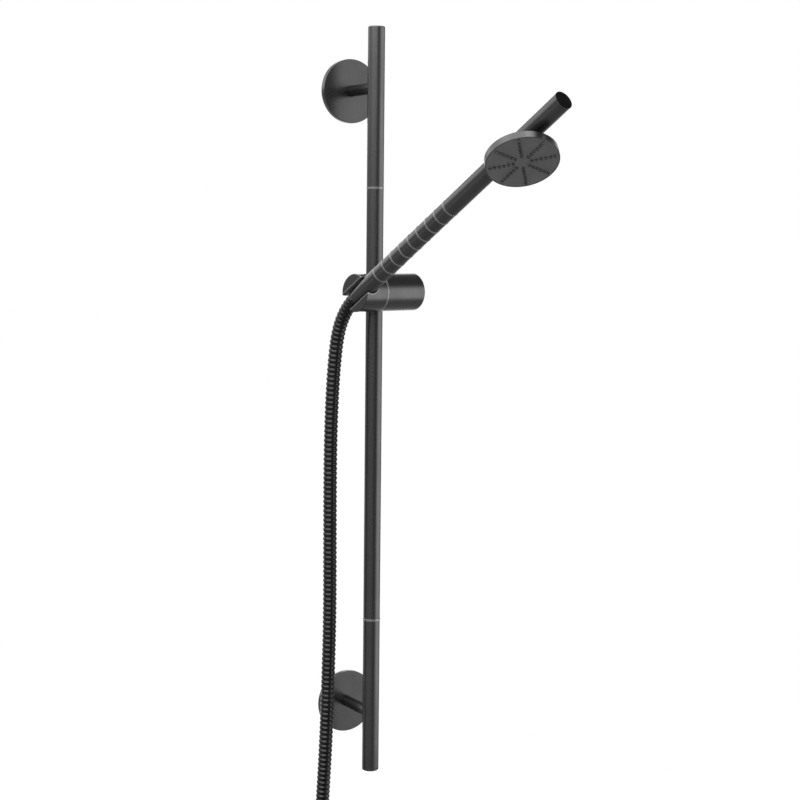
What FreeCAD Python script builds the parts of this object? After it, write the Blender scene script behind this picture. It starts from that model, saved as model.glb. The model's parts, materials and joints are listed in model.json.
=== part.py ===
import FreeCAD, Part
import math
import os

# Shower slide rail with slider, tilting holder, hand shower and hose.
# Millimetres. X to the right facing the wall, Y into the wall, Z up.
# The origin is in the wall face, midway between the two brackets.

# Rail
rail_d = 18.0
rail_wall = 1.5
rail_length = 798.0
rail_stand_off = 57.5      # wall face to rail axis
rail_cap_t = 2.5
rail_cap_edge = 1.1
rail_cap_plug = 8.0
stop_inset = 104.5         # bracket to stop ring, along the rail
stop_ring_w = 2.5
stop_ring_proud = 0.25
ring_groove = 0.6          # depth of every ring groove

# Wall brackets
bracket_inset = 63.0       # rail end to bracket
rose_d = 68.0
rose_depth = 5.5
rose_skin = 1.4
rose_wall = 2.0
rose_edge = 0.7
screw_pitch = 40.0
screw_hole_d = 5.2
screw_head_d = 10.0
screw_head_depth = 2.4
spigot_d = 7.0
spigot_length = 12.0
post_d = 12.0
stud_d = 6.0
stud_grip = 18.0           # length of stud inside the post
stud_reach = 4.0           # length of stud past the rail axis
insert_length = 24.0
grub_d = 3.0
grub_from_plate = 7.0
grub_socket_af = 1.5
grub_sunk = 0.1

# Slider
slider_z = 122.4
slider_swivel = 11.6       # degrees about the rail, left end forward
slider_d = 39.5
slider_reach = 20.0        # rail axis to slider axis
seam_x = -15.3
seam_w = 2.2
seam_inset = 0.1
body_length = 51.0
holder_length = 29.3
slider_edge = 0.8
sleeve_d = 27.0
sleeve_height = 34.0
bush_wall = 1.95
bush_length = 12.0
bush_flange_d = 25.6
bush_flange_t = 1.45
friction_ring_h = 5.0
friction_ring_edge = 0.5
end_cap_d = 31.0
end_cap_t = 3.0
end_cap_skirt = 2.0        # wall of the skirt inside the cavity
cavity_d = 28.0
cavity_x = 16.0            # floor of the spring cavity
spindle_d = 8.0
spindle_head_d = 11.0
spindle_head_t = 4.0
spindle_head_x = -27.0
spindle_tip_x = 27.0
socket_af = 5.0
socket_depth = 2.4
spring_d = 18.0
spring_t = 0.9
spring_dish = 1.0
nut_af = 13.0
nut_t = 6.5

# Holder slot: a slit that the hose passes, opened by a conical seat and lined with plastic
slot_x = -38.0             # axis of the seat and of the round slot floor
slot_rise = 33.7           # degrees above level
slot_drop = 0.9            # slot axis below the slider axis
slot_w = 17.4
slot_flare = 0.7           # each side wider at the mouth
slot_flare_depth = 3.0
seat_flare = 1.45          # seat's top wider than the handle, each side
liner_t = 1.0

# Hand shower
handle_d = 18.6
handle_wall = 1.5
handle_tail = 8.2          # slot centre to the lower end
handle_length = 338.8
foot_d = 15.0              # small end of the tapered foot
foot_length = 23.7
foot_bore = 12.0
grip_rings = 9
grip_first = 37.4
grip_pitch = 15.0
grip_ring_w = 1.9
grip_ring_proud = 0.15
grip_ring_edge = 0.15
grip_recess = 0.12
cap_recess = 0.9
cap_length = 9.0
connector_length = 20.0
washer_t = 2.0
ferrule_length = 18.5
water_d = 9.0
head_from_top = 65.6       # handle top to the head centre, along the handle
head_roll = -19.8          # degrees about the handle
head_d = 70.0
head_t = 7.5
head_face = 24.2           # handle axis to the front edge of the head
head_back = 1.6
head_rim = 0.8
head_edge = 0.35
neck_d = 16.0
neck_fillet = 3.0
neck_water_d = 8.0
face_t = 1.2
face_recess = 0.25
mat_t = 1.2
mat_margin = 0.5
nozzle_rows = 8
nozzle_per_row = 6
nozzle_first = 8.7
nozzle_last = 30.5
nozzle_d = 2.8
nozzle_tip_d = 2.2
nozzle_proud = 1.8
nozzle_bore_d = 1.0

# Hose: hand-chosen points from the handle end down to the coil; the top part bends when the holder tilts
hose_d = 15.0
hose_bore = 9.0
hose_top_route = [
    (-34.5, -78.3, 116.95),
    (-36.0, -70.2, 111.35),
    (-38.1, -57.9, 97.0),
    (-39.4, -49.8, 79.9),
    (-40.1, -44.9, 56.4),
]
hose_run_route = [
    (-40.9, -41.3, 21.6),
    (-42.0, -40.2, -20.0),
    (-42.5, -39.8, -68.0),
    (-42.4, -40.1, -145.0),
    (-42.2, -40.6, -225.0),
    (-43.6, -39.9, -300.0),
    (-46.2, -40.3, -370.0),
    (-49.6, -39.8, -432.0),
    (-51.6, -39.9, -476.0),
]
bend_share = 0.9           # part of the free run that a bend takes
coil_middle = (-53.0, -121.0, -540.0)
coil_r = 81.0
coil_turns = 2
coil_pitch = 15.5
coil_tail = 70.0           # straight end that hangs below the coil's middle
tie_w = 10.0
tie_t = 0.9
end_ferrule_wall = 1.25
end_ferrule_length = 17.0
end_collar_d = 20.4
end_collar_t = 3.0
union_d = 24.4
union_length = 24.0
union_lip = 5.0
union_seal_t = 2.0
union_edge = 1.0
flutes = 20
flute_d = 2.4
flute_depth = 0.5

# Clearances
seat_gap = 0.05            # parts fixed together
cover_gap = 0.3            # loose covers
run_gap = 0.05             # running fits
slide_gap = 0.05           # flat faces that turn on each other
bore_relief = 0.5          # free depth past the end of a fitted pin
past = 1.0                 # overshoot of cutting tools

V = FreeCAD.Vector
rail_r = rail_d / 2
rail_in_r = rail_r - rail_wall
rail_top = rail_length / 2
bracket_z = rail_top - bracket_inset
stop_ring_z = bracket_z - stop_inset
post_r = post_d / 2
slider_r = slider_d / 2
handle_r = handle_d / 2
handle_in_r = handle_r - handle_wall
hose_r = hose_d / 2
up = V(0, 0, 1)
across = V(1, 0, 0)
inward = V(0, 1, 0)
outward = V(0, -1, 0)
centre = V(0, 0, 0)
rail_foot = V(0, -rail_stand_off, 0)

os.makedirs("parts", exist_ok=True)


def export(name, shape):
    shape.exportStep("parts/" + name + ".step")


def cyl(r, z0, z1, x=0.0, y=0.0):
    return Part.makeCylinder(r, z1 - z0, V(x, y, z0), up)


def ring(r_in, r_out, z0, z1, x=0.0, y=0.0):
    return cyl(r_out, z0, z1, x, y).cut(cyl(r_in, z0 - past, z1 + past, x, y))


def cyl_x(r, x0, x1):
    return Part.makeCylinder(r, x1 - x0, V(x0, 0, 0), across)


def ring_x(r_in, r_out, x0, x1):
    return cyl_x(r_out, x0, x1).cut(cyl_x(r_in, x0 - past, x1 + past))


def turned(outline):
    """Solid of revolution about Z from (radius, height) points."""
    points = [V(r, 0, z) for r, z in outline]
    points.append(points[0])
    return Part.Face(Part.makePolygon(points)).revolve(centre, up, 360)


def hexagon(across_flats, z0, z1):
    corner = across_flats / math.sqrt(3)
    turns = [k * math.pi / 3 for k in range(7)]
    points = [V(corner * math.cos(a), corner * math.sin(a), z0) for a in turns]
    return Part.Face(Part.makePolygon(points)).extrude(up * (z1 - z0))


def to_x(shape):
    """Turn a piece built along Z so that it lies along X."""
    shape.rotate(centre, inward, 90)
    return shape


def round_edges(shape, radius, wanted):
    """Round the edges of a shape that the test picks."""
    return shape.makeFillet(radius, [e for e in shape.Edges if wanted(e)])


def circle_at(edge, radius, place, axis):
    """True for a full circle of this radius at this place along an axis."""
    curve = edge.Curve
    if curve.TypeId != "Part::GeomCircle":
        return False
    return abs(curve.Radius - radius) < 0.01 and abs(curve.Center.dot(axis) - place) < 0.01


# Rail tube with a groove for each stop ring and a hole for each stud
tube_end = rail_top - rail_cap_t
rail = ring(rail_in_r, rail_r, -tube_end, tube_end, 0, -rail_stand_off)
groove_r = rail_r - ring_groove
for side in (1, -1):
    z = side * stop_ring_z
    groove = ring(groove_r, rail_d, z - stop_ring_w / 2, z + stop_ring_w / 2, 0, -rail_stand_off)
    bracket_at = V(0, -rail_stand_off, side * bracket_z)
    hole = Part.makeCylinder(stud_d / 2 + seat_gap, rail_d, bracket_at, inward)
    rail = rail.cut(groove).cut(hole)
export("rail_tube", rail)

# Rail end caps and stop rings
for side, end, place in ((1, "top", "upper"), (-1, "bottom", "lower")):
    cap = cyl(rail_r, tube_end, rail_top)
    cap = round_edges(cap, rail_cap_edge, lambda e: circle_at(e, rail_r, rail_top, up))
    cap = cap.fuse(cyl(rail_in_r - seat_gap, tube_end - rail_cap_plug, tube_end))
    if side < 0:
        cap.rotate(centre, across, 180)
    cap.translate(rail_foot)
    export("rail_cap_" + end, cap)
    half = stop_ring_w / 2 - seat_gap
    soft = stop_ring_proud
    outer = rail_r + stop_ring_proud
    inner = groove_r + seat_gap
    stop = turned([(inner, -half), (outer - soft, -half), (outer, soft - half), (outer, half - soft),
                   (outer - soft, half), (inner, half)])
    stop.translate(V(0, -rail_stand_off, side * stop_ring_z))
    export("stop_ring_" + place, stop)

# Wall brackets, built outward along Z from the wall and then laid over
plate_t = rose_depth - rose_skin
plate_r = rose_d / 2 - rose_wall - cover_gap
spigot_r = spigot_d / 2
spigot_end = plate_t + spigot_length
post_bore_r = spigot_r + seat_gap
stud_foot = rail_stand_off - rail_r - stud_grip
grub_z = plate_t + grub_from_plate
grub_length = post_r - post_bore_r - grub_sunk


def export_bracket(name, side, shape):
    shape.rotate(centre, across, 90)
    shape.translate(up * (side * bracket_z))
    export(name, shape)


for side, place in ((1, "upper"), (-1, "lower")):
    plate = cyl(plate_r, 0, plate_t).fuse(cyl(spigot_r, 0, spigot_end))
    for x in (-screw_pitch / 2, screw_pitch / 2):
        plate = plate.cut(cyl(screw_hole_d / 2, -past, plate_t + past, x))
        plate = plate.cut(Part.makeCone(screw_hole_d / 2, screw_head_d / 2, screw_head_depth,
                                        V(x, 0, plate_t - screw_head_depth), up))
    export_bracket("wall_plate_" + place, side, plate)

    rose = cyl(rose_d / 2, 0, rose_depth)
    rose = round_edges(rose, rose_edge, lambda e: circle_at(e, rose_d / 2, rose_depth, up))
    rose = rose.cut(cyl(rose_d / 2 - rose_wall, -past, plate_t))
    rose = rose.cut(cyl(post_r + seat_gap, 0, rose_depth + past))
    export_bracket("rose_" + place, side, rose)

    # The post is coped to sit on the rail and bored for the spigot and the stud
    post = cyl(post_r, plate_t, rail_stand_off)
    rail_seat = Part.makeCylinder(rail_r + seat_gap, post_d * 2, V(0, -post_d, rail_stand_off), inward)
    post = post.cut(rail_seat)
    post = post.cut(cyl(post_bore_r, 0, spigot_end + bore_relief))
    post = post.cut(cyl(stud_d / 2 + seat_gap, stud_foot - bore_relief, rail_stand_off))
    post = post.cut(Part.makeCylinder(grub_d / 2, post_d, V(0, 0, grub_z), outward))
    export_bracket("post_" + place, side, post)

    stud = cyl(stud_d / 2, stud_foot, rail_stand_off + stud_reach)
    export_bracket("post_stud_" + place, side, stud)

    grub = Part.makeCylinder(grub_d / 2 - seat_gap, grub_length, V(0, -post_bore_r, grub_z), outward)
    grub_socket = hexagon(grub_socket_af, 0, grub_length)
    grub_socket.rotate(centre, across, 90)
    grub_socket.translate(V(0, -post_bore_r - grub_length / 2, grub_z))
    export_bracket("grub_screw_" + place, side, grub.cut(grub_socket))

    # In the rail's bore, with a blind hole for the stud
    insert_foot = V(0, -insert_length / 2, rail_stand_off)
    insert = Part.makeCylinder(rail_in_r - seat_gap, insert_length, insert_foot, inward)
    insert = insert.cut(cyl(stud_d / 2 + seat_gap, 0, rail_stand_off + stud_reach + bore_relief))
    export_bracket("rail_insert_" + place, side, insert)


# Slider pieces are built round the slider axis, with the rail behind it, and then swivelled
def set_slider(shape):
    shape.translate(V(0, -rail_stand_off - slider_reach, slider_z))
    shape.rotate(rail_foot, up, slider_swivel)
    return shape


bush_r = rail_r + run_gap + bush_wall
bore_r = bush_r + run_gap
sleeve_top = sleeve_height / 2
flange_foot = sleeve_top + slide_gap
for side, place in ((1, "upper"), (-1, "lower")):
    bush = ring(rail_r + run_gap, bush_r, sleeve_top - bush_length, flange_foot)
    bush = bush.fuse(ring(rail_r + run_gap, bush_flange_d / 2, flange_foot, flange_foot + bush_flange_t))
    bush = bush.removeSplitter()
    if side < 0:
        bush.rotate(centre, across, 180)
    bush.translate(V(0, slider_reach, 0))
    export("guide_bush_" + place, set_slider(bush))

grip_h = friction_ring_h / 2
grip_in = rail_r + run_gap
soft = friction_ring_edge
friction = turned([(grip_in, soft - grip_h), (grip_in + soft, -grip_h),
                   (bush_r - soft, -grip_h), (bush_r, soft - grip_h),
                   (bush_r, grip_h - soft), (bush_r - soft, grip_h),
                   (grip_in + soft, grip_h), (grip_in, grip_h - soft)])
friction.translate(V(0, slider_reach, 0))
export("friction_ring", set_slider(friction))

# Slider body: cross cylinder joined to the sleeve, bored for bushes, spindle and spring
body_left = seam_x + seam_w / 2
body_right = body_left + body_length
cap_seat = body_right - end_cap_t
body = cyl_x(slider_r, body_left, body_right)
body = round_edges(body, slider_edge, lambda e: circle_at(e, slider_r, body_right, across))
body = body.fuse(cyl(sleeve_d / 2, -sleeve_top, sleeve_top, 0, slider_reach))
body = body.cut(cyl(bore_r, -slider_d, slider_d, 0, slider_reach))
for z in (sleeve_top, -sleeve_top - slider_d):
    body = body.cut(cyl(bush_flange_d / 2 + cover_gap, z, z + slider_d, 0, slider_reach))
body = body.cut(cyl_x(spindle_d / 2 + run_gap, body_left - past, cavity_x + past))
body = body.cut(cyl_x(cavity_d / 2, cavity_x, body_right + past))
body = body.cut(cyl_x(end_cap_d / 2, cap_seat, body_right + past))
export("slider_body", set_slider(body))

end_cap_r = end_cap_d / 2 - seat_gap
skirt_r = cavity_d / 2 - seat_gap
end_cap = cyl_x(end_cap_r, cap_seat, body_right)
end_cap = round_edges(end_cap, slider_edge / 2, lambda e: circle_at(e, end_cap_r, body_right, across))
end_cap = end_cap.fuse(ring_x(skirt_r - end_cap_skirt, skirt_r, cap_seat - end_cap_t, cap_seat))
export("slider_end_cap", set_slider(end_cap))

holder_right = seam_x - seam_w / 2
seam = ring_x(spindle_d / 2 + 2 * run_gap, slider_r - seam_inset, holder_right + slide_gap, body_left)
export("seam_ring", set_slider(seam))

# Pivot spindle, dished spring washer and nut, clamped through the slider body
head_inner = spindle_head_x + spindle_head_t
spindle = cyl_x(spindle_head_d / 2, spindle_head_x, head_inner)
spindle = spindle.fuse(cyl_x(spindle_d / 2, head_inner, spindle_tip_x))
socket = to_x(hexagon(socket_af, spindle_head_x - past, spindle_head_x + socket_depth))
export("pivot_spindle", set_slider(spindle.cut(socket)))

spring_in = spindle_d / 2 + cover_gap / 2
spring_foot = cavity_x + slide_gap
spring = turned([(spring_d / 2, spring_foot), (spring_d / 2, spring_foot + spring_t),
                 (spring_in, spring_foot + spring_t + spring_dish), (spring_in, spring_foot + spring_dish)])
export("spring_washer", set_slider(to_x(spring)))

nut_foot = spring_foot + spring_t + spring_dish
nut = hexagon(nut_af, nut_foot, nut_foot + nut_t)
nut = nut.cut(cyl(spindle_d / 2 + seat_gap, 0, nut_foot + nut_t + past))
export("spindle_nut", set_slider(to_x(nut)))


# The hand shower is built upward along Z from the slot centre and then laid in the slot
def lay_in_slot(shape):
    rise = math.radians(slot_rise)
    shape.rotate(centre, across, 90 - slot_rise)
    shape.translate(V(slot_x, -slot_drop * math.sin(rise), -slot_drop * math.cos(rise)))
    return shape


# Holder: cylinder with a slanted slot, open to the left, and a conical seat that narrows downward
holder_left = holder_right - holder_length
foot_r = foot_d / 2
taper = (handle_r - foot_r) / foot_length
seat_foot = (slot_w / 2 - seat_gap - foot_r) / taper - handle_tail     # the handle's cone rests here


def slot_cut(grow):
    """Slot and seat in one cutting tool, larger by this much all round."""
    half = slot_w / 2 + grow
    mouth = holder_left - slot_x
    wide = half + slot_flare
    throat = mouth + slot_flare_depth
    one_side = [V(0, half, 0), V(throat, half, 0), V(mouth, wide, 0), V(-slider_d, wide, 0)]
    other_side = [V(p.x, -p.y, 0) for p in reversed(one_side)]
    slot = Part.Face(Part.makePolygon(one_side + other_side + one_side[:1])).extrude(up * (2 * slider_d))
    slot = slot.fuse(cyl(half, 0, 2 * slider_d))
    slot.translate(up * -slider_d)
    top_r = handle_r + seat_flare + grow
    seat = Part.makeCone(half, top_r, slider_r - seat_foot, V(0, 0, seat_foot), up)
    return lay_in_slot(slot.fuse(seat).removeSplitter())


holder = cyl_x(slider_r, holder_left, holder_right)
outer_rim = [e for e in holder.Edges if circle_at(e, slider_r, holder_left, across)]
holder = holder.makeChamfer(slider_edge, outer_rim)
liner = holder.common(slot_cut(liner_t)).cut(slot_cut(0))
holder = holder.cut(slot_cut(liner_t + seat_gap))
holder = holder.cut(cyl_x(spindle_d / 2 + seat_gap, slot_x, holder_right + past))
holder = holder.cut(cyl_x(spindle_head_d / 2 + seat_gap, slot_x, head_inner))
export("holder", set_slider(holder))
export("slot_liner", set_slider(liner))


def set_handset(shape):
    return set_slider(lay_in_slot(shape))


# Handle tube with a tapered foot, a shallow grip zone and a groove for each grip ring
handle_top = handle_length - handle_tail
head_at = handle_top - head_from_top
grip_last = grip_first + (grip_rings - 1) * grip_pitch
grip_groove_r = handle_r - ring_groove
head_side = V(math.sin(math.radians(head_roll)), -math.cos(math.radians(head_roll)), 0)
foot_bore_r = foot_bore / 2
ferrule_top = ferrule_length - handle_tail
washer_top = ferrule_top + washer_t
connector_top = washer_top + connector_length
handle = turned([(foot_bore_r, -handle_tail), (foot_r, -handle_tail), (handle_r, foot_length - handle_tail),
                 (handle_r, handle_top), (handle_in_r, handle_top), (handle_in_r, connector_top),
                 (foot_bore_r, connector_top)])
handle = handle.cut(ring(handle_r - grip_recess, handle_d, grip_first, grip_last))
for k in range(grip_rings):
    z = grip_first + k * grip_pitch
    handle = handle.cut(ring(grip_groove_r, handle_d, z - grip_ring_w / 2, z + grip_ring_w / 2))
handle = handle.cut(Part.makeCylinder(neck_water_d / 2, handle_d, V(0, 0, head_at), head_side))
export("handle_tube", set_handset(handle))

for k in range(grip_rings):
    half = grip_ring_w / 2 - seat_gap / 2
    outer = handle_r + grip_ring_proud
    inner = grip_groove_r + seat_gap
    soft = grip_ring_edge
    grip = turned([(inner, -half), (outer - soft, -half), (outer, soft - half), (outer, half - soft),
                   (outer - soft, half), (inner, half)])
    grip.translate(V(0, 0, grip_first + k * grip_pitch))
    export("grip_ring_%d" % (k + 1), set_handset(grip))

cap_top = handle_top - cap_recess
export("handle_cap", set_handset(cyl(handle_in_r - seat_gap, cap_top - cap_length, cap_top)))

# Inside the foot: hose ferrule, washer and threaded connector
fit_r = foot_bore_r - seat_gap
export("hose_ferrule", set_handset(ring(water_d / 2, fit_r, -handle_tail - seat_gap, ferrule_top)))
export("hose_washer", set_handset(ring(water_d / 2, fit_r, ferrule_top, washer_top)))
export("handle_connector", set_handset(ring(water_d / 2, fit_r, washer_top, connector_top)))


# The head is built along Z away from the handle axis, then turned to face the rolled side
def set_head(shape):
    shape.rotate(centre, across, 90)
    shape.rotate(centre, up, head_roll)
    shape.translate(up * head_at)
    return set_handset(shape)


head_r = head_d / 2
back_z = head_face - head_t
shell = cyl(head_r, back_z, head_face)
shell = round_edges(shell, head_edge, lambda e: e.Curve.TypeId == "Part::GeomCircle")
shell = shell.fuse(cyl(neck_d / 2, 0, back_z + head_back / 2)).removeSplitter()
shell = round_edges(shell, neck_fillet, lambda e: circle_at(e, neck_d / 2, back_z, up))
shell = shell.cut(cyl(head_r - head_rim, back_z + head_back, head_face + past))
shell = shell.cut(cyl(neck_water_d / 2, -past, head_face))
shell = shell.cut(Part.makeCylinder(handle_r + seat_gap, head_d, V(0, head_r, 0), outward))
export("head_shell", set_head(shell))

face_top = head_face - face_recess
face_foot = face_top - face_t
mat_foot = face_foot - mat_t
face_r = head_r - head_rim - seat_gap
face = cyl(face_r, face_foot, face_top)
mat = cyl(face_r - mat_margin, mat_foot, face_foot)
nozzle_step = (nozzle_last - nozzle_first) / (nozzle_per_row - 1)
holes = []
nozzles = []
bores = []
for row in range(nozzle_rows):
    angle = 2 * math.pi * row / nozzle_rows
    for k in range(nozzle_per_row):
        r = nozzle_first + k * nozzle_step
        at = V(r * math.cos(angle), r * math.sin(angle), 0)
        holes.append(cyl(nozzle_d / 2 + seat_gap, face_foot - past, face_top + past, at.x, at.y))
        nozzle = cyl(nozzle_d / 2, face_foot - mat_t / 2, face_top, at.x, at.y)
        tip = Part.makeCone(nozzle_d / 2, nozzle_tip_d / 2, nozzle_proud, V(at.x, at.y, face_top), up)
        nozzles.append(nozzle.fuse(tip))
        bores.append(cyl(nozzle_bore_d / 2, mat_foot - past, face_top + nozzle_proud + past, at.x, at.y))
export("spray_face", set_head(face.cut(Part.makeCompound(holes))))
export("nozzle_mat", set_head(mat.fuse(nozzles).cut(Part.makeCompound(bores))))


# Hose: straight runs joined by arcs that touch both runs
def hose_wire(points):
    points = [V(*p) for p in points]
    last_corner = len(points) - 2
    edges = []
    start = points[0]
    for k in range(1, last_corner + 1):
        here = points[k]
        into = here - points[k - 1]
        out = points[k + 1] - here
        free_in = into.Length if k == 1 else into.Length / 2
        free_out = out.Length if k == last_corner else out.Length / 2
        reach = bend_share * min(free_in, free_out)
        turn = into.getAngle(out)
        radius = reach / math.tan(turn / 2)
        into_dir = into.normalize()
        out_dir = out.normalize()
        first = here - into_dir * reach
        last = here + out_dir * reach
        bisector = (out_dir - into_dir).normalize()
        middle = here + bisector * (radius / math.cos(turn / 2) - radius)
        edges.append(Part.LineSegment(start, first).toShape())
        edges.append(Part.Arc(first, middle, last).toShape())
        print("hose bend radius %.0f mm" % radius)
        start = last
    edges.append(Part.LineSegment(start, points[-1]).toShape())
    return Part.Wire(edges)


def hose_tube(points):
    wire = hose_wire(points)
    along = V(*points[1]) - V(*points[0])
    section = Part.Wire([Part.makeCircle(hose_r, V(*points[0]), along)])
    tube = wire.makePipeShell([section], True, False)
    ideal = math.pi * hose_r ** 2 * wire.Length
    print("hose length %.1f mm, volume ratio %.4f" % (wire.Length, tube.Volume / ideal))
    return tube


joint = tuple((V(*hose_top_route[-1]) + V(*hose_run_route[0])) / 2)
export("hose_top", hose_tube(hose_top_route + [joint]))
export("hose_run", hose_tube([joint] + hose_run_route))

# Coil outside the picture: one ring round its turns, with the end that hangs from it
coil_x, coil_y, coil_z = coil_middle
coil_last_x = coil_x - coil_turns * coil_pitch
coil_back = coil_y + coil_r
first_in = V(coil_x, coil_back - hose_r, coil_z)
first_out = V(coil_x, coil_back + hose_r, coil_z)
last_in = V(coil_last_x, coil_back - hose_r, coil_z)
last_out = V(coil_last_x, coil_back + hose_r, coil_z)
section = [
    Part.LineSegment(first_in, last_in).toShape(),
    Part.Arc(last_in, V(coil_last_x - hose_r, coil_back, coil_z), last_out).toShape(),
    Part.LineSegment(last_out, first_out).toShape(),
    Part.Arc(first_out, V(coil_x + hose_r, coil_back, coil_z), first_in).toShape(),
]
coil = Part.Face(Part.Wire(section)).revolve(V(0, coil_y, coil_z), across, 360)
entry_top = V(*hose_run_route[-1])
entry_dir = V(coil_x, coil_back, coil_z) - entry_top
coil = coil.fuse(Part.makeCylinder(hose_r, entry_dir.Length, entry_top, entry_dir))
tail_end = coil_z - coil_tail
coil = coil.fuse(cyl(hose_r, tail_end, coil_z, coil_last_x, coil_back))
export("hose_coil", coil)

# Strap round the coil's front, so that the turns stay together
tie_x0 = coil_last_x - hose_r - cover_gap
tie_x1 = coil_x + hose_r + cover_gap
coil_in_r = coil_r - hose_r
tie_y0 = coil_y - coil_r - hose_r - cover_gap
tie_y1 = coil_y - math.sqrt(coil_in_r ** 2 - (tie_w / 2) ** 2) + cover_gap
tie_foot = coil_z - tie_w / 2
tie = Part.makeBox(tie_x1 - tie_x0 + 2 * tie_t, tie_y1 - tie_y0 + 2 * tie_t, tie_w,
                   V(tie_x0 - tie_t, tie_y0 - tie_t, tie_foot))
tie = round_edges(tie, hose_r, lambda e: abs(e.tangentAt(e.FirstParameter).z) > 0.9)
hollow = Part.makeBox(tie_x1 - tie_x0, tie_y1 - tie_y0, tie_w, V(tie_x0, tie_y0, tie_foot))
hollow = round_edges(hollow, hose_r - tie_t, lambda e: abs(e.tangentAt(e.FirstParameter).z) > 0.9)
export("hose_tie", tie.cut(hollow))

# Wall end of the hose: crimped ferrule with collar, union nut and seal washer
collar_top = tail_end - seat_gap
ferrule_in = hose_r + seat_gap
ferrule_out = ferrule_in + end_ferrule_wall
seal_top = collar_top - end_collar_t
hose_end = V(coil_last_x, coil_back, 0)


def export_at_end(name, shape):
    shape.translate(hose_end)
    export(name, shape)


end_ferrule = ring(ferrule_in, ferrule_out, seal_top, collar_top + end_ferrule_length)
end_ferrule = end_ferrule.fuse(ring(hose_bore / 2, end_collar_d / 2, seal_top, collar_top))
export_at_end("hose_end_ferrule", end_ferrule.removeSplitter())

union_top = collar_top + union_lip + slide_gap
union_foot = union_top - union_length
union_r = union_d / 2
union = cyl(union_r, union_foot, union_top)
union = round_edges(union, union_edge, lambda e: e.Curve.TypeId == "Part::GeomCircle")
union = union.cut(cyl(ferrule_out + cover_gap, union_foot, union_top + past))
union = union.cut(cyl(end_collar_d / 2 + cover_gap, union_foot - past, collar_top + slide_gap))
flute_out = union_r - flute_depth + flute_d / 2
for k in range(flutes):
    a = 2 * math.pi * k / flutes
    at = V(flute_out * math.cos(a), flute_out * math.sin(a), 0)
    union = union.cut(cyl(flute_d / 2, union_foot - past, union_top + past, at.x, at.y))
export_at_end("union_nut", union)
export_at_end("union_seal", ring(hose_bore / 2, end_collar_d / 2, seal_top - union_seal_t, seal_top))
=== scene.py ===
import json
import math

import bmesh
import bpy
from mathutils import Matrix, Vector


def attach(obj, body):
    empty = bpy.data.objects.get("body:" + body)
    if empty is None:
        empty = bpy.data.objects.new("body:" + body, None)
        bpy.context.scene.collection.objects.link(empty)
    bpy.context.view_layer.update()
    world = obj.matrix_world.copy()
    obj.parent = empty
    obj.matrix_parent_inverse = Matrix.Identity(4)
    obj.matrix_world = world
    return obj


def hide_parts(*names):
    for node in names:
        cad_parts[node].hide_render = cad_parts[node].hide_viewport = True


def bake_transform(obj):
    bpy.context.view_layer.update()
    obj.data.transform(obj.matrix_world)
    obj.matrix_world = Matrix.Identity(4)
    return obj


# Shower slide rail: finished pieces and materials over the fixed frame.
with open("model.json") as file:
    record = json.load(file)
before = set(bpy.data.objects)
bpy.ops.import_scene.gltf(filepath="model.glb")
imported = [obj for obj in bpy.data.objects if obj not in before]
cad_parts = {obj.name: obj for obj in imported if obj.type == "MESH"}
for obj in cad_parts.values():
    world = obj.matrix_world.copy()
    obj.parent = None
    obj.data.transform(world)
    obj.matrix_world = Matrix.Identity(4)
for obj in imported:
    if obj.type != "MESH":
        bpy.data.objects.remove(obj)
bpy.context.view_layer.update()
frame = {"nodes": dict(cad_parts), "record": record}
nodes = frame["nodes"]

# Sizes in millimetres, as in the frame; a round is the radius of a softened edge
FIT = 0.05                 # play between pieces that fit together
EDGE_ROUND = 0.12

# Rail with its end caps and stop rings
RAIL_R = 9.0
RAIL_IN_R = 7.5
RAIL_TOP = 399.0
RAIL_STAND_OFF = 57.5
RAIL_CAP = 2.5
RAIL_CAP_ROUND = 1.1
RAIL_CAP_CONE = 4.0
STOP_RING_Z = 231.5
STOP_RING_W = 2.5
STOP_RING_SUNK = 0.5
STOP_RING_PROUD = 0.25
STOP_RING_ROUND = 0.22
RING_GROOVE = 0.6

# Wall brackets
BRACKET_Z = 336.0
ROSE_R = 34.0
ROSE_DEPTH = 5.5
ROSE_SKIN = 1.4
ROSE_WALL = 2.0
ROSE_ROUND = 0.7
ROSE_EDGE = 0.15
POST_R = 6.0

# Slider, along its cross axis and round the rail
SLIDER_R = 19.75
SLIDER_Z = 122.4
SLIDER_REACH = 20.0
SLIDER_SWIVEL = 11.6
BODY_LEFT = -14.2
BODY_RIGHT = 36.8
BODY_END_ROUND = 0.8
SEAM_EDGE = 0.25           # round on body and holder, beside the friction disc
SEAM_INSET = 0.1
SEAM_ROUND = 0.2
SLEEVE_R = 13.5
SLEEVE_TOP = 17.0
SLEEVE_ROUND = 0.6
BUSH_BORE_R = 11.05
BUSH_FOOT = 5.0
BUSH_FLANGE_R = 12.8
BUSH_FLANGE_T = 1.5
BUSH_FLANGE_ROUND = 0.4
BUSH_FLANGE_ROOM = 0.3
BUSH_EDGE = 0.2
END_CAP_R = 15.5
END_CAP_T = 3.0
END_CAP_ROUND = 0.4
END_CAP_SEAT_ROUND = 0.2
SPINDLE_R = 4.0
TOOL_REACH = 40.0          # from the middle of a cutting tool to its ends, clear of what it cuts

# Holder with its slanted slot
HOLDER_LEFT = -45.7
HOLDER_RIGHT = -16.4
HOLDER_CHAMFER = 0.8
SLOT_X = -38.0
SLOT_RISE = 33.7
SLOT_DROP = 0.9
SLOT_W = 17.4
SLOT_FLARE = 0.7
SLOT_FLARE_DEPTH = 3.0
SEAT_FLARE = 1.45
SEAT_GAP = 0.05
SEAT_BELOW = 1.0           # how far the seat's cone runs on below where the foot rests
LINER_T = 1.0

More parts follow.
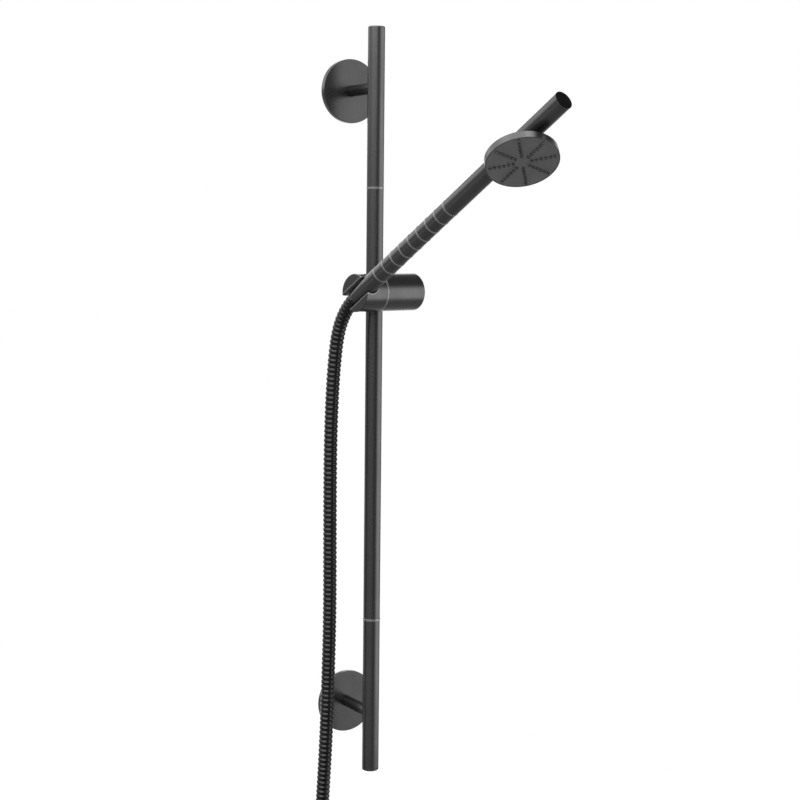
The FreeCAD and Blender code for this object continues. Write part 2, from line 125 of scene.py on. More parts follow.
# Handle of the hand shower
HANDLE_R = 9.3
HANDLE_IN_R = 7.8
HANDLE_FOOT = -8.2
HANDLE_TOP = 330.6
HANDLE_END_ROUND = 0.1
FOOT_R = 7.5
FOOT_TOP = 15.5
FOOT_ROUND = 0.25
FOOT_BLEND = 12.0
FOOT_BORE_R = 6.0
FOOT_BORE_TOP = 32.3
FOOT_BORE_ROUND = 0.15
PLUG_FLANGE = 0.8
PLUG_ROUND = 0.4
PLUG_DEPTH = 9.0
GRIP_FIRST = 37.4
GRIP_PITCH = 15.0
GRIP_RINGS = 9
GRIP_RING_W = 1.9
GRIP_RING_PLAY = 0.03
GRIP_RING_PROUD = 0.15
GRIP_RING_ROUND = 0.2
GRIP_GROOVE_ROUND = 0.08
GRIP_RECESS = 0.12

# Head of the hand shower; its back and face are measured from the handle's axis
HEAD_AT = 265.0
HEAD_ROLL = -19.8
HEAD_R = 35.0
HEAD_RIM = 0.8
HEAD_FACE = 24.2
HEAD_BACK = 16.7
HEAD_SKIN = 1.6
HEAD_BACK_ROUND = 0.35
HEAD_FACE_ROUND = 0.3
HEAD_INNER_ROUND = 0.2
NECK_R = 8.0
NECK_FILLET = 3.0
NECK_SUNK = 0.5
FACE_TOP = 23.95
NOZZLE_ROWS = 8
NOZZLES_IN_ROW = 6
NOZZLE_FIRST = 8.7
NOZZLE_STEP = 4.36
NOZZLE_R = 1.4
NOZZLE_ROOT = 1.2
NOZZLE_SHOULDER = 0.4
NOZZLE_SHOULDER_ROUND = 0.2
NOZZLE_PROUD = 1.8
NOZZLE_TIP_R = 1.1
NOZZLE_TIP_ROUND = 0.3
NOZZLE_BORE_R = 0.5
NOZZLE_BORE_DEPTH = 1.5
NOZZLE_BORE_ROUND = 0.1

# Hose
HOSE_D = 15.0
RIDGE_PITCH = 5.06
RIDGE_DEPTH = 1.0
HOSE_ROUTE = [
    (-34.5, -78.3, 116.95),
    (-36.0, -70.2, 111.35),
    (-38.1, -57.9, 97.0),
    (-39.4, -49.8, 79.9),
    (-40.1, -44.9, 56.4),
    (-40.9, -41.3, 21.6),
    (-42.0, -40.2, -20.0),
    (-42.5, -39.8, -68.0),
    (-42.4, -40.1, -145.0),
    (-42.2, -40.6, -225.0),
    (-43.6, -39.9, -300.0),
    (-46.2, -40.3, -370.0),
    (-49.6, -39.8, -432.0),
    (-51.6, -39.9, -476.0),
]
COIL_MIDDLE = (-53.0, -121.0, -540.0)
COIL_R = 81.0
COIL_TURNS = 2
COIL_PITCH = 15.5
COIL_TAIL = 70.0

# Fineness of the meshes
SEGMENTS = 128             # round a turned piece
SEGMENTS_WIDE = 192        # round a wide one
SEGMENTS_PLAIN = 96        # round a slim or plain one
SEGMENTS_NOZZLE = 20
ARC_STEPS = 5              # along a softened corner
SLOT_FLOOR_STEPS = 48
NECK_FILLET_STEPS = 3
COIL_STEPS = 16            # points of the route in a turn of the coil
HOSE_LINE_STEPS = 12       # stretches between two points of the route
HOSE_SIDES = 24
RIDGE_STEPS = 7.0          # rings of the mesh in one ridge
MERGE = 1e-4               # points closer than this become one
SHARP_ANGLE = 35.0         # faces that meet at more degrees than this show an edge
BEVEL_ANGLE = 50.0         # edges that turn by more degrees than this are broken
BEVEL_STEPS = 3

# Finishes
PATCH_LOW = 0.3            # noise at which a patch is darkest
PATCH_HIGH = 0.7           # noise at which a patch is lightest
PATCH_DETAIL = 3.0
GRAIN_DETAIL = 2.0
GRAIN_HEIGHT = 0.125       # share of a grain's size

# Camera, from the photograph's perspective: place in millimetres, turns in degrees
CAMERA_PLACE = (-868.2, -1538.3, 180.7)
CAMERA_YAW = 31.332
CAMERA_PITCH = 5.776
CAMERA_ROLL = 0.593
CAMERA_LENS = 72.62
CAMERA_SENSOR = 36.0
CAMERA_RANGE = 50.0        # metres

# Stage, in metres
FLOOR_Z = -0.98            # below the hose with the slider at its lowest
FLOOR_R = 1.8
FLOOR_T = 0.01
FLOOR_ROUGHNESS = 0.7
FLOOR_SEEN = 0.85          # white that the camera sees in the floor; the rest is its own shading and shadow
FLOOR_MIRRORED = 0.45      # brightness of the floor where the metal mirrors it
FRONT_GLOW = 0.12          # dim studio on the camera's side
BACKDROP = (0.80, 0.97)    # where the white begins and is full, as a share of the way to straight behind
WHITE = (1, 1, 1, 1)
# Light panels: where each begins and is full across (X, camera's left to right), away from the camera (Y)
# and in height (Z), all from -1 to 1, and its brightness
PANELS = [
    ([("X", 0.45, 0.10), ("X", -0.95, -0.60), ("Y", 0.60, 0.30), ("Z", 0.08, 0.20)], 3.1),
    ([("X", 0.80, 0.40), ("Z", 0.08, 0.20), ("Z", 0.50, 0.25)], 0.8),
    ([("X", 0.25, -0.15)], 0.33),
    ([("X", -0.40, -0.80), ("Z", 0.00, 0.15)], 0.9),
    ([("X", 0.65, 1.00), ("Z", -0.70, -0.35), ("Z", 0.55, 0.20)], 2.6),
    ([("Z", -0.12, -0.32)], 0.26),
]
# Softbox over the head: place from it (to the camera's right, away from it, up), sides and watts
SOFTBOX_PLACE = (0.30, -0.09, 0.45)
SOFTBOX_SIDES = (0.50, 0.42)
SOFTBOX_WATTS = 1.7

# Places: millimetres in a piece's own frame to metres in the shared frame
MM = Matrix.Scale(0.001, 4)


def move(x, y, z):
    return Matrix.Translation((x, y, z))


def turn(degrees, axis):
    return Matrix.Rotation(math.radians(degrees), 4, axis)


RISE = math.radians(SLOT_RISE)
ALONG_X = turn(90, "Y")
SLOT_MIDDLE = move(SLOT_X, -SLOT_DROP * math.sin(RISE), -SLOT_DROP * math.cos(RISE))
IN_SLOT = SLOT_MIDDLE @ turn(90 - SLOT_RISE, "X")
RAIL_PLACE = MM @ move(0, -RAIL_STAND_OFF, 0)
SLIDER_PLACE = RAIL_PLACE @ turn(SLIDER_SWIVEL, "Z") @ move(0, -SLIDER_REACH, SLIDER_Z)
HANDSET_PLACE = SLIDER_PLACE @ IN_SLOT
HEAD_PLACE = HANDSET_PLACE @ move(0, 0, HEAD_AT) @ turn(HEAD_ROLL, "Z") @ turn(90, "X")


def bracket_place(side):
    return MM @ move(0, 0, side * BRACKET_Z) @ turn(90, "X")


# Materials
def linear(hex_colour):
    """Linear colour of an sRGB hex value."""
    parts = [int(hex_colour[k:k + 2], 16) / 255 for k in (1, 3, 5)]
    return [c / 12.92 if c <= 0.04045 else ((c + 0.055) / 1.055) ** 2.4 for c in parts] + [1.0]


def add(tree, kind, links=(), **settings):
    """Add a node, set its properties and inputs, and link inputs from other nodes' outputs."""
    node = tree.nodes.new(kind)
    for key, value in settings.items():
        if hasattr(node, key):
            setattr(node, key, value)
        else:
            node.inputs[key.replace("_", " ")].default_value = value
    for name, output in links:
        tree.links.new(output, node.inputs[name])
    return node


def mottled_finish(name, dark, light, patch_mm, gloss, dull, grain_mm=0.0, grain_depth=0.0, metal=0.0,
                   shine=0.5):
    """Finish whose tone and roughness drift in soft patches, with a fine grain where a size is given.

    Patches have a size in millimetres along X, Y and Z. Gloss and dull are the roughness of the lightest
    and the darkest patches."""
    material = bpy.data.materials.new(name)
    material.use_nodes = True
    tree = material.node_tree
    shader = tree.nodes["Principled BSDF"]
    shader.inputs["Metallic"].default_value = metal
    shader.inputs["Specular IOR Level"].default_value = shine
    coords = add(tree, "ShaderNodeTexCoord")
    spacing = add(tree, "ShaderNodeMapping", [("Vector", coords.outputs["Object"])],
                  Scale=[1000 / mm for mm in patch_mm])
    patches = add(tree, "ShaderNodeTexNoise", [("Vector", spacing.outputs["Vector"])],
                  Scale=1.0, Detail=PATCH_DETAIL)
    tone = add(tree, "ShaderNodeValToRGB", [("Fac", patches.outputs["Fac"])])
    for stop, place, colour in zip(tone.color_ramp.elements, (PATCH_LOW, PATCH_HIGH), (dark, light)):
        stop.position = place
        stop.color = linear(colour)
    tree.links.new(tone.outputs["Color"], shader.inputs["Base Color"])
    rough = add(tree, "ShaderNodeMapRange", [("Value", patches.outputs["Fac"])],
                From_Min=PATCH_LOW, From_Max=PATCH_HIGH, To_Min=dull, To_Max=gloss)
    tree.links.new(rough.outputs["Result"], shader.inputs["Roughness"])
    if grain_mm:
        fine = add(tree, "ShaderNodeTexNoise", [("Vector", coords.outputs["Object"])],
                   Scale=1000 / grain_mm, Detail=GRAIN_DETAIL)
        bump = add(tree, "ShaderNodeBump", [("Height", fine.outputs["Fac"])],
                   Strength=grain_depth, Distance=GRAIN_HEIGHT * grain_mm / 1000)
        tree.links.new(bump.outputs["Normal"], shader.inputs["Normal"])
    return material


# Black vacuum coating on blasted brass: dark metal, soft broad reflections, a very fine matt grain
coated = mottled_finish("black_coating_on_blasted_brass", "#454546", "#4a4a4b", (26, 26, 26), 0.24, 0.28,
                        grain_mm=0.35, grain_depth=0.05, metal=0.9)
# Grey plastic under a thin metal film: mid grey that flashes where it mirrors a light
grey_film = mottled_finish("grey_plastic_with_metal_film", "#666668", "#6e6e70", (9, 9, 9), 0.24, 0.3,
                           metal=0.6)
# Moulded dark grey ABS: dark plastic with a fine spark-eroded grain that dulls its gloss
dark_abs = mottled_finish("dark_moulded_abs", "#424243", "#484849", (14, 14, 14), 0.45, 0.52,
                          grain_mm=0.4, grain_depth=0.12)
# Moulded black nylon: almost black, slightly mottled, with a dull surface
black_nylon = mottled_finish("black_moulded_nylon", "#0b0b0b", "#121213", (6, 6, 6), 0.5, 0.62, shine=0.0)
# Moulded silicone: soft dark rubber with a faint bloom and a wet-looking sheen on its tips
silicone = mottled_finish("moulded_silicone_rubber", "#242426", "#2e2e30", (1.6, 1.6, 1.6), 0.16, 0.24,
                          shine=0.7)
# Black vinyl over a metal film, extruded smooth: dark, and it flashes where a ridge mirrors a light
hose_vinyl = mottled_finish("black_vinyl_over_metal_film", "#2c2c2d", "#323233", (11, 11, 11), 0.07, 0.11,
                            metal=1.0)
# Turned brass: yellow metal with fine tool marks that vary its gloss
brass = mottled_finish("turned_brass", "#c29c4d", "#cda857", (0.6, 0.6, 0.6), 0.22, 0.4, metal=1.0)
# Pressed and brushed stainless steel: grey metal whose fine scratches along X spread its reflections
stainless = mottled_finish("brushed_stainless_steel", "#aeaeb0", "#b8b8ba", (16, 0.33, 0.33), 0.24, 0.42,
                           metal=1.0)
FINISH = {
    "coated_metal": coated,
    "grey_plastic": grey_film,
    "spray_plastic": dark_abs,
    "nozzle_rubber": silicone,
    "hose_skin": hose_vinyl,
    "guide_plastic": black_nylon,
    "plain_brass": brass,
    "stainless": stainless,
}
SLOT_OF = {s["node"]: s["material_slot"] for s in frame["record"]["subparts"]}
for node_name, node in nodes.items():
    node.data.materials.clear()
    node.data.materials.append(FINISH[SLOT_OF[node_name]])


# Mesh helpers
def soften(corners, closed):
    """Outline with an arc at each corner (r, z, radius) that gives a radius."""
    outline = []
    count = len(corners)
    for k, corner in enumerate(corners):
        here = Vector(corner[:2])
        if len(corner) == 2:
            outline.append(here)
            continue
        to_last = (Vector(corners[k - 1][:2]) - here).normalized()
        to_next = (Vector(corners[(k + 1) % count][:2]) - here).normalized()
        half = to_last.angle(to_next) / 2
        centre = here + (to_last + to_next).normalized() * (corner[2] / math.sin(half))
        first = here + to_last * (corner[2] / math.tan(half)) - centre
        last = here + to_next * (corner[2] / math.tan(half)) - centre
        sweep = first.angle_signed(last)
        for step in range(ARC_STEPS + 1):
            outline.append(centre + first @ Matrix.Rotation(sweep * step / ARC_STEPS, 2))
    if closed:
        outline.append(outline[0])
    return outline


def close_and_face_out(mesh, merge=MERGE):
    """Close the seams, drop what has no size and point every face outward."""
    work = bmesh.new()
    work.from_mesh(mesh)
    bmesh.ops.remove_doubles(work, verts=work.verts, dist=merge)
    bmesh.ops.dissolve_degenerate(work, edges=work.edges, dist=merge)
    bmesh.ops.recalc_face_normals(work, faces=work.faces)
    work.to_mesh(mesh)
    work.free()


def mesh_from(name, vertices, faces):
    mesh = bpy.data.meshes.new(name)
    mesh.from_pydata(vertices, [], faces)
    close_and_face_out(mesh)
    return mesh


def lathe(name, corners, closed=True, segments=SEGMENTS):
    """Revolve an outline of (radius, height) about Z. An open outline starts and ends on the axis."""
    outline = soften(corners, closed)
    vertices = []
    for r, z in outline:
        for k in range(segments):
            a = 2 * math.pi * k / segments
            vertices.append((r * math.cos(a), r * math.sin(a), z))
    faces = []
    for row in range(len(outline) - 1):
        here = row * segments
        above = here + segments
        for k in range(segments):
            after = (k + 1) % segments
            faces.append((here + k, here + after, above + after, above + k))
    return mesh_from(name, vertices, faces)


def rod(name, radius, z0, z1, segments=SEGMENTS):
    """Plain solid cylinder along Z."""
    return lathe(name, [(0, z0), (radius, z0), (radius, z1), (0, z1)], False, segments)


def prism(name, points, z0, z1):
    """Extrude a flat outline along Z."""
    count = len(points)
    vertices = [(x, y, z) for z in (z0, z1) for x, y in points]
    faces = [tuple(range(count)), tuple(range(count, 2 * count))]
    faces += [(k, (k + 1) % count, count + (k + 1) % count, count + k) for k in range(count)]
    return mesh_from(name, vertices, faces)


def plain_mesh(thing):
    """Mesh of an object with its modifiers applied."""
    graph = bpy.context.evaluated_depsgraph_get()
    return bpy.data.meshes.new_from_object(thing.evaluated_get(graph))


def new_object(name, data):
    thing = bpy.data.objects.new(name, data)
    bpy.context.scene.collection.objects.link(thing)
    return thing


def combine(name, mesh, steps):
    """Join or cut other meshes one by one."""
    for operation, tool_mesh in steps:
        thing = new_object(name + "_work", mesh)
        tool = new_object(name + "_tool", tool_mesh)
        change = thing.modifiers.new("join_or_cut", "BOOLEAN")
        change.operation = operation
        change.object = tool
        change.solver = "EXACT"
        mesh = plain_mesh(thing)
        close_and_face_out(mesh)
        for used in (thing, tool):
            bpy.data.objects.remove(used)
    return mesh


def break_edges(name, mesh, width):
    """Round the sharp edges by this width."""
    thing = new_object(name + "_work", mesh)
    broken = thing.modifiers.new("broken_edges", "BEVEL")
    broken.width = width
    broken.segments = BEVEL_STEPS
    broken.limit_method = "ANGLE"
    broken.angle_limit = math.radians(BEVEL_ANGLE)
    mesh = plain_mesh(thing)
    bpy.data.objects.remove(thing)
    return mesh


def finished(name, mesh, place, body, slot, *stands_for):
    """Put a mesh in its place as a smooth piece that rides on a body and stands for its nodes."""
    mesh.transform(place)
    mesh.name = name
    mesh.materials.clear()
    mesh.materials.append(FINISH[slot])
    mesh.shade_smooth()
    mesh.set_sharp_from_angle(angle=math.radians(SHARP_ANGLE))
    piece = new_object(name, mesh)
    even = piece.modifiers.new("even_shading", "WEIGHTED_NORMAL")
    even.keep_sharp = True
    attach(piece, body)
    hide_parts(*stands_for)


# Rail, its caps and its stop rings
def rail_pieces():
    tube_end = RAIL_TOP - RAIL_CAP
    groove = RAIL_R - RING_GROOVE
    half = STOP_RING_W / 2
    tube = [(RAIL_IN_R, -tube_end), (RAIL_R, -tube_end, EDGE_ROUND)]
    for z in (-STOP_RING_Z, STOP_RING_Z):
        tube += [(RAIL_R, z - half, EDGE_ROUND), (groove, z - half)]
        tube += [(groove, z + half), (RAIL_R, z + half, EDGE_ROUND)]
    tube += [(RAIL_R, tube_end, EDGE_ROUND), (RAIL_IN_R, tube_end)]
    finished("rail", lathe("rail", tube), RAIL_PLACE, "rail", "coated_metal", "rail_tube")
    cap = [
        (0, RAIL_TOP),
        (RAIL_R, RAIL_TOP, RAIL_CAP_ROUND),
        (RAIL_R, tube_end, EDGE_ROUND),
        (RAIL_IN_R, tube_end),
        (0, tube_end - RAIL_CAP_CONE),
    ]
    inner = RAIL_R - STOP_RING_SUNK
    outer = RAIL_R + STOP_RING_PROUD
    stop = [
        (inner, FIT - half),
        (outer, FIT - half, STOP_RING_ROUND),
        (outer, half - FIT, STOP_RING_ROUND),
        (inner, half - FIT),
    ]
    for side, end, place in ((1, "top", "upper"), (-1, "bottom", "lower")):
        flip = turn(0 if side > 0 else 180, "X")
        finished("rail_end_" + end, lathe("cap", cap, False), RAIL_PLACE @ flip,
                 "rail", "coated_metal", "rail_cap_" + end)
        finished("travel_stop_" + place, lathe("stop", stop), RAIL_PLACE @ move(0, 0, side * STOP_RING_Z),
                 "rail", "grey_plastic", "stop_ring_" + place)


# Wall brackets: rose and post
def coped_post():
    """Post whose outer end is cut to sit on the round rail."""
    foot = ROSE_DEPTH - ROSE_SKIN
    seat = RAIL_R + FIT
    vertices = [(0, 0, foot), (0, 0, RAIL_STAND_OFF - seat)]
    faces = []
    for k in range(SEGMENTS_PLAIN):
        a = 2 * math.pi * k / SEGMENTS_PLAIN
        x = POST_R * math.cos(a)
        y = POST_R * math.sin(a)
        vertices += [(x, y, foot), (x, y, RAIL_STAND_OFF - math.sqrt(seat ** 2 - x ** 2))]
        here = 2 + 2 * k
        after = 2 + 2 * ((k + 1) % SEGMENTS_PLAIN)
        faces += [(0, after, here), (1, here + 1, after + 1), (here, after, after + 1, here + 1)]
    return mesh_from("post", vertices, faces)


def bracket_pieces():
    skin = ROSE_DEPTH - ROSE_SKIN
    rose = [
        (ROSE_R - ROSE_WALL, 0),
        (ROSE_R, 0, ROSE_EDGE),
        (ROSE_R, ROSE_DEPTH, ROSE_ROUND),
        (POST_R + FIT, ROSE_DEPTH, ROSE_EDGE),
        (POST_R + FIT, skin),
        (ROSE_R - ROSE_WALL, skin),
    ]
    for side, place in ((1, "upper"), (-1, "lower")):
        at = bracket_place(side)
        disc = lathe("rose", rose, segments=SEGMENTS_WIDE)
        finished("wall_rose_" + place, disc, at, "rail", "coated_metal", "rose_" + place)
        finished("wall_post_" + place, coped_post(), at, "rail", "coated_metal", "post_" + place)


# Slider: body with sleeve, end cap, friction disc, guide bushes
def slider_block_mesh():
    hole = SPINDLE_R + FIT
    seat = BODY_RIGHT - END_CAP_T
    barrel = lathe("barrel", [
        (hole, BODY_LEFT),
        (SLIDER_R, BODY_LEFT, SEAM_EDGE),
        (SLIDER_R, BODY_RIGHT, BODY_END_ROUND),
        (END_CAP_R, BODY_RIGHT, END_CAP_SEAT_ROUND),
        (END_CAP_R, seat),
        (hole, seat),
    ], segments=SEGMENTS_WIDE)
    barrel.transform(ALONG_X)
    sleeve = lathe("sleeve", [
        (0, -SLEEVE_TOP),
        (SLEEVE_R, -SLEEVE_TOP, SLEEVE_ROUND),
        (SLEEVE_R, SLEEVE_TOP, SLEEVE_ROUND),
        (0, SLEEVE_TOP),
    ], False)
    relief_r = BUSH_FLANGE_R + BUSH_FLANGE_ROOM
    steps = [
        ("UNION", sleeve),
        ("DIFFERENCE", rod("bore", BUSH_BORE_R, -TOOL_REACH, TOOL_REACH)),
        ("DIFFERENCE", rod("relief", relief_r, SLEEVE_TOP - FIT, TOOL_REACH)),
        ("DIFFERENCE", rod("relief", relief_r, -TOOL_REACH, FIT - SLEEVE_TOP)),
    ]
    for operation, mesh in steps:
        mesh.transform(move(0, SLIDER_REACH, 0))
    return combine("slider_block", barrel, steps)


def slider_pieces():
    finished("slider_block", slider_block_mesh(), SLIDER_PLACE, "slider", "coated_metal", "slider_body")
    seat = BODY_RIGHT - END_CAP_T
    cap = lathe("cap", [
        (0, BODY_RIGHT),
        (END_CAP_R - FIT, BODY_RIGHT, END_CAP_ROUND),
        (END_CAP_R - FIT, seat),
        (0, seat),
    ], False)
    finished("slider_end", cap, SLIDER_PLACE @ ALONG_X, "slider", "coated_metal", "slider_end_cap")
    hole = SPINDLE_R + FIT
    rim = SLIDER_R - SEAM_INSET
    seam = lathe("seam", [
        (hole, HOLDER_RIGHT + FIT),
        (rim, HOLDER_RIGHT + FIT, SEAM_ROUND),
        (rim, BODY_LEFT, SEAM_ROUND),
        (hole, BODY_LEFT),
    ], segments=SEGMENTS_WIDE)
    finished("friction_disc", seam, SLIDER_PLACE @ ALONG_X, "slider", "grey_plastic", "seam_ring")
    bush = [
        (RAIL_R + FIT, BUSH_FOOT),
        (BUSH_BORE_R - FIT, BUSH_FOOT),
        (BUSH_BORE_R - FIT, SLEEVE_TOP + FIT),
        (BUSH_FLANGE_R, SLEEVE_TOP + FIT, BUSH_EDGE),
        (BUSH_FLANGE_R, SLEEVE_TOP + BUSH_FLANGE_T, BUSH_FLANGE_ROUND),
        (RAIL_R + FIT, SLEEVE_TOP + BUSH_FLANGE_T, BUSH_EDGE),
    ]
    for side, place in ((1, "upper"), (-1, "lower")):
        flip = move(0, SLIDER_REACH, 0) @ turn(0 if side > 0 else 180, "X")
        finished("rail_bush_" + place, lathe("bush", bush), SLIDER_PLACE @ flip,
                 "carriage", "guide_plastic", "guide_bush_" + place)


# Holder: cylinder cut by the slanted, round-floored slot and opened by the conical seat
def slot_tool(grow):
    """Slot with its flared mouth, larger by this much all round."""
    half = SLOT_W / 2 + grow
    wide = half + SLOT_FLARE
    mouth = HOLDER_LEFT - SLOT_X
    outside = -2 * SLIDER_R
    angles = [math.pi * k / SLOT_FLOOR_STEPS for k in range(SLOT_FLOOR_STEPS + 1)]
    floor = [(half * math.sin(a), -half * math.cos(a)) for a in angles]
    near = [(outside, -wide), (mouth, -wide), (mouth + SLOT_FLARE_DEPTH, -half)]
    far = [(x, -y) for x, y in reversed(near)]
    mesh = prism("slot", near + floor + far, -3 * SLIDER_R, 3 * SLIDER_R)
    mesh.transform(IN_SLOT)
    return mesh


def seat_tool(grow):
    """Conical seat on which the handle's foot rests, larger by this much all round."""
    taper = (HANDLE_R - FOOT_R) / (FOOT_TOP - HANDLE_FOOT)
    rest = (SLOT_W / 2 - SEAT_GAP - FOOT_R) / taper + HANDLE_FOOT
    slope = (HANDLE_R + SEAT_FLARE - SLOT_W / 2) / (SLIDER_R - rest)
    ends = [(SLOT_W / 2 + grow + slope * (z - rest), z) for z in (rest - SEAT_BELOW, 2 * SLIDER_R)]
    mesh = lathe("seat", [(0, ends[0][1])] + ends + [(0, ends[1][1])], False)
    mesh.transform(IN_SLOT)
    return mesh


def holder_piece():
    barrel = lathe("holder", [
        (0, HOLDER_LEFT),
        (SLIDER_R - HOLDER_CHAMFER, HOLDER_LEFT),
        (SLIDER_R, HOLDER_LEFT + HOLDER_CHAMFER),
        (SLIDER_R, HOLDER_RIGHT, SEAM_EDGE),
        (0, HOLDER_RIGHT),
    ], False, SEGMENTS_WIDE)
    barrel.transform(ALONG_X)
    room = LINER_T + SEAT_GAP
    cuts = [("DIFFERENCE", slot_tool(room)), ("DIFFERENCE", seat_tool(room))]
    mesh = break_edges("handset_holder", combine("handset_holder", barrel, cuts), EDGE_ROUND)
    finished("handset_holder", mesh, SLIDER_PLACE, "holder", "coated_metal", "holder")


# Hand shower: handle, grip rings, end plug
def handle_pieces():
    groove = HANDLE_R - RING_GROOVE
    waist = HANDLE_R - GRIP_RECESS
    half = GRIP_RING_W / 2
    rim = HANDLE_TOP - PLUG_FLANGE
    tube = [
        (FOOT_BORE_R, HANDLE_FOOT, FOOT_BORE_ROUND),
        (FOOT_R, HANDLE_FOOT, FOOT_ROUND),
        (HANDLE_R, FOOT_TOP, FOOT_BLEND),
    ]
    for k in range(GRIP_RINGS):
        z = GRIP_FIRST + k * GRIP_PITCH
        before = HANDLE_R if k == 0 else waist
        after = HANDLE_R if k == GRIP_RINGS - 1 else waist
        tube += [(before, z - half, GRIP_GROOVE_ROUND), (groove, z - half)]
        tube += [(groove, z + half), (after, z + half, GRIP_GROOVE_ROUND)]
    tube += [
        (HANDLE_R, rim, HANDLE_END_ROUND),
        (HANDLE_IN_R, rim, HANDLE_END_ROUND),
        (HANDLE_IN_R, FOOT_BORE_TOP),
        (FOOT_BORE_R, FOOT_BORE_TOP),
    ]
    finished("handle", lathe("handle", tube), HANDSET_PLACE, "holder", "coated_metal", "handle_tube")
    inner = groove + FIT
    outer = HANDLE_R + GRIP_RING_PROUD
    edge = half - GRIP_RING_PLAY
    ring = [(inner, -edge), (outer, -edge, GRIP_RING_ROUND), (outer, edge, GRIP_RING_ROUND), (inner, edge)]
    for k in range(GRIP_RINGS):
        at = HANDSET_PLACE @ move(0, 0, GRIP_FIRST + k * GRIP_PITCH)
        finished("grip_band_%d" % (k + 1), lathe("band", ring), at,
                 "holder", "grey_plastic", "grip_ring_%d" % (k + 1))
    plug_r = HANDLE_IN_R - FIT
    plug = lathe("plug", [
        (0, HANDLE_TOP),
        (HANDLE_R, HANDLE_TOP, PLUG_ROUND),
        (HANDLE_R, rim + FIT),
        (plug_r, rim + FIT),
        (plug_r, rim - PLUG_DEPTH),
        (0, rim - PLUG_DEPTH),
    ], False)
    finished("handle_plug", plug, HANDSET_PLACE, "holder", "guide_plastic", "handle_cap")


# Head: thin disc with a coped neck; rows of nozzles made by node trees
def head_shell_mesh():
    inner = HEAD_R - HEAD_RIM
    floor = HEAD_BACK + HEAD_SKIN
    disc = lathe("disc", [
        (0, HEAD_BACK),
        (HEAD_R, HEAD_BACK, HEAD_BACK_ROUND),
        (HEAD_R, HEAD_FACE, HEAD_FACE_ROUND),
        (inner, HEAD_FACE, HEAD_INNER_ROUND),
        (inner, floor),
        (0, floor),
    ], False, SEGMENTS_WIDE)
    outline = [(0, 0), (NECK_R, 0)]
    for k in range(NECK_FILLET_STEPS + 1):
        a = math.pi / 2 * k / NECK_FILLET_STEPS
        out = NECK_FILLET * (1 - math.cos(a))
        down = NECK_FILLET * (1 - math.sin(a))
        outline.append((NECK_R + out, HEAD_BACK - down))
    outline += [(NECK_R + NECK_FILLET, HEAD_BACK + NECK_SUNK), (0, HEAD_BACK + NECK_SUNK)]
    neck = lathe("neck", outline, False, SEGMENTS_PLAIN)
    handle_room = rod("handle_room", HANDLE_R + FIT, -TOOL_REACH, TOOL_REACH)
    handle_room.transform(turn(90, "X"))
    return combine("head_shell", disc, [("UNION", neck), ("DIFFERENCE", handle_room)])


def node_tree(name, **inputs):
    """Empty geometry tree with named inputs of these kinds and one geometry output."""
    tree = bpy.data.node_groups.new(name, "GeometryNodeTree")
    tree.interface.new_socket("Geometry", in_out="INPUT", socket_type="NodeSocketGeometry")
    for label, kind in inputs.items():
        tree.interface.new_socket(label, in_out="INPUT", socket_type="NodeSocket" + kind)
    tree.interface.new_socket("Geometry", in_out="OUTPUT", socket_type="NodeSocketGeometry")
    return tree, add(tree, "NodeGroupInput"), add(tree, "NodeGroupOutput")


def end_tree(tree, geometry, material, leave):
    """Make instances real, dress them and send them out of the tree."""
    real = add(tree, "GeometryNodeRealizeInstances", [("Geometry", geometry)])
    dressed = add(tree, "GeometryNodeSetMaterial", [("Geometry", real.outputs[0]), ("Material", material)])
    tree.links.new(dressed.outputs[0], leave.inputs[0])


def row_tree():
    """Copies of a piece in a straight row along X."""
    tree, enter, leave = node_tree("row_of_pieces", Piece="Object", Count="Int", First="Float",
                                   Step="Float", Material="Material")
    start = add(tree, "ShaderNodeCombineXYZ", [("X", enter.outputs["First"])])
    step = add(tree, "ShaderNodeCombineXYZ", [("X", enter.outputs["Step"])])
    line = add(tree, "GeometryNodeMeshLine", [("Count", enter.outputs["Count"]),
                                              ("Start Location", start.outputs[0]),
                                              ("Offset", step.outputs[0])])
    piece = add(tree, "GeometryNodeObjectInfo", [("Object", enter.outputs["Piece"])])
    copies = add(tree, "GeometryNodeInstanceOnPoints", [("Points", line.outputs["Mesh"]),
                                                        ("Instance", piece.outputs["Geometry"])])
    end_tree(tree, copies.outputs[0], enter.outputs["Material"], leave)
    return tree


def ring_tree():
    """Copies of a piece turned evenly about Z."""
    tree, enter, leave = node_tree("ring_of_pieces", Piece="Object", Count="Int", Material="Material")
    points = add(tree, "GeometryNodePoints", [("Count", enter.outputs["Count"])])
    index = add(tree, "GeometryNodeInputIndex")
    share = add(tree, "ShaderNodeMath", [(0, index.outputs[0]), (1, enter.outputs["Count"])],
                operation="DIVIDE")
    angle = add(tree, "ShaderNodeMath", [(0, share.outputs[0])], operation="MULTIPLY")
    angle.inputs[1].default_value = 2 * math.pi
    about_z = add(tree, "ShaderNodeCombineXYZ", [("Z", angle.outputs[0])])
    piece = add(tree, "GeometryNodeObjectInfo", [("Object", enter.outputs["Piece"])])
    copies = add(tree, "GeometryNodeInstanceOnPoints", [("Points", points.outputs[0]),
                                                        ("Instance", piece.outputs["Geometry"]),
                                                        ("Rotation", about_z.outputs[0])])
    end_tree(tree, copies.outputs[0], enter.outputs["Material"], leave)
    return tree


def run_tree(tree, values, data=None):
    """Plain mesh that a geometry tree makes with these values for its named inputs."""
    carrier = new_object("tree_carrier", data or bpy.data.meshes.new("tree_carrier"))
    change = carrier.modifiers.new("tree", "NODES")
    change.node_group = tree
    for item in tree.interface.items_tree:
        if item.in_out == "INPUT" and item.name in values:
            change[item.identifier] = values[item.name]
    mesh = plain_mesh(carrier)
    bpy.data.objects.remove(carrier)
    return mesh


